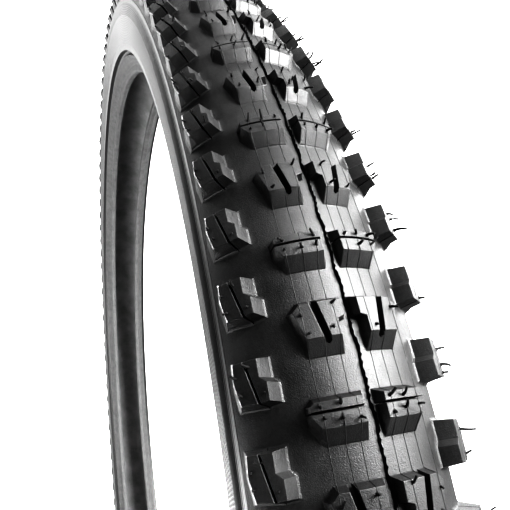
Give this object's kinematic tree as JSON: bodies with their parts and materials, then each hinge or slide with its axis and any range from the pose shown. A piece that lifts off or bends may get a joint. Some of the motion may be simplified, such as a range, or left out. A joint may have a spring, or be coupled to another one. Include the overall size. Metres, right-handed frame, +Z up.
{
  "type": "bicycle tire",
  "caption": "Knobbly mountain-bike tyre for a 622 mm wheel, with blocky centre and shoulder knobs, layered casing and two beads.",
  "frame": {"origin": "the wheel's centre, on the axis and in the tyre's middle plane", "axes": "+Y along the wheel's axis, out of the left sidewall; X and Z lie in the wheel's plane, +Z up"},
  "size_m": [0.742, 0.057, 0.742],
  "materials": {
    "tread": "satin moulded rubber with fine grain",
    "sidewall": "satin moulded rubber with fine ribs",
    "chafer": "rubbered nylon weave",
    "liner": "dull smooth butyl",
    "casing": "rubbered cord fabric",
    "breaker": "dense aramid weave",
    "insert": "dense nylon weave",
    "bead_bundle": "twisted aramid strand"
  },
  "bodies": {
    "root": {"inner_liner": "liner", "casing_ply_inner": "casing", "casing_ply_outer": "casing", "breaker_belt": "breaker", "tread_base": "tread", "centre_tread": "tread", "shoulder_tread_left": "tread", "shoulder_tread_right": "tread", "sidewall_left": "sidewall", "sidewall_right": "sidewall", "sidewall_protection_left": "insert", "sidewall_protection_right": "insert", "bead_core_left": "bead_bundle", "bead_core_right": "bead_bundle", "bead_filler_left": "sidewall", "bead_filler_right": "sidewall", "chafer_left": "chafer", "chafer_right": "chafer"}
  },
  "joints": []
}
